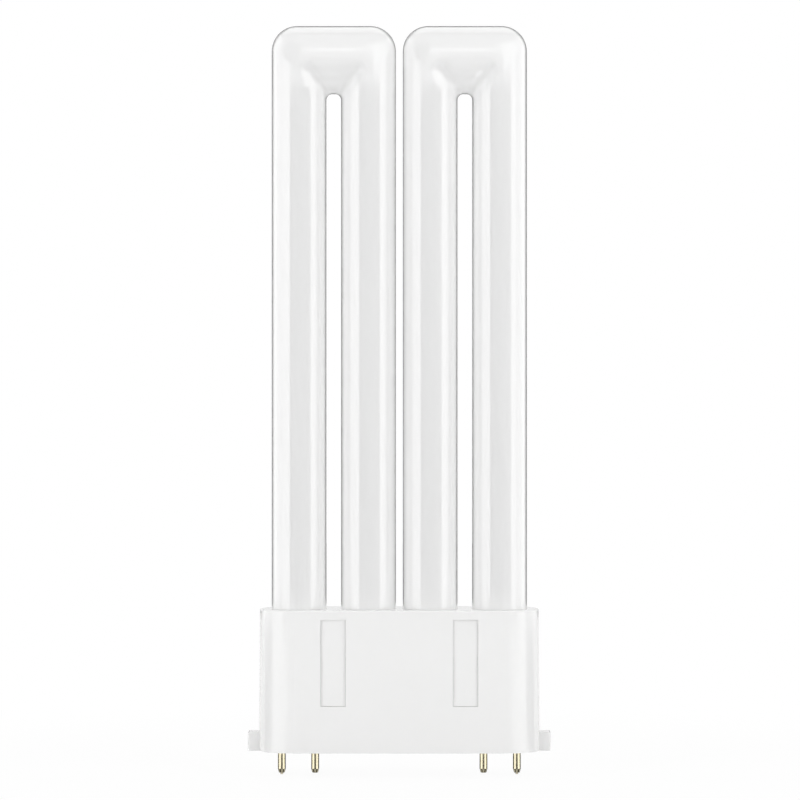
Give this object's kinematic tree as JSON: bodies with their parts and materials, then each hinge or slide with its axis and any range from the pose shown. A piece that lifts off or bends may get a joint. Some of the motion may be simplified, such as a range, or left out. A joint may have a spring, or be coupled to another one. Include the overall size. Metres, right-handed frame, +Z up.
{
  "type": "led plug-in lamp",
  "caption": "Flat plug-in LED lamp: opal U-tubes side by side in one row, in a white base with brass contact pins in line, end lugs and latch windows.",
  "frame": {"origin": "middle of the base's seating face, where the pins leave it", "axes": "+Z up the tubes, X along the row of limbs, front towards -Y"},
  "size_m": [0.0906, 0.022, 0.2243],
  "materials": {
    "opal_tube": "opal white, high gloss",
    "base_white": "white moulding, fine satin",
    "contact_brass": "turned and polished",
    "tinned_wire": "tinned",
    "led_board_white": "white solder resist",
    "led_phosphor": "phosphor gel",
    "plug_white": "moulded",
    "driver_green": "green solder resist",
    "ferrite": "ground",
    "bobbin_black": "moulded",
    "winding_copper": "enamelled copper wire",
    "capacitor_can": "dark sleeve",
    "film_red": "dipped",
    "fuse_body": "lacquered",
    "chip_black": "moulded"
  },
  "bodies": {
    "root": {"base_shell": "base_white", "board_link_1": "tinned_wire", "board_link_2": "tinned_wire", "board_link_3": "tinned_wire", "board_link_4": "tinned_wire", "bridge_rectifier": "chip_black", "bulk_capacitor_1": "capacitor_can", "bulk_capacitor_2": "capacitor_can", "choke_core": "ferrite", "choke_winding": "winding_copper", "contact_pin_1": "contact_brass", "contact_pin_2": "contact_brass", "contact_pin_3": "contact_brass", "contact_pin_4": "contact_brass", "driver_board": "driver_green", "driver_chip": "chip_black", "film_capacitor": "film_red", "fuse_resistor_1": "fuse_body", "fuse_resistor_2": "fuse_body", "led_board_1": "led_board_white", "led_board_2": "led_board_white", "led_board_3": "led_board_white", "led_board_4": "led_board_white", "led_chips_1": "led_phosphor", "led_chips_2": "led_phosphor", "led_chips_3": "led_phosphor", "led_chips_4": "led_phosphor", "pin_lead_1": "tinned_wire", "pin_lead_2": "tinned_wire", "pin_lead_3": "tinned_wire", "pin_lead_4": "tinned_wire", "pin_plate": "base_white", "transformer_bobbin": "bobbin_black", "transformer_core": "ferrite", "transformer_winding": "winding_copper", "tube_left": "opal_tube", "tube_plug_1": "plug_white", "tube_plug_2": "plug_white", "tube_plug_3": "plug_white", "tube_plug_4": "plug_white", "tube_right": "opal_tube"}
  },
  "joints": []
}
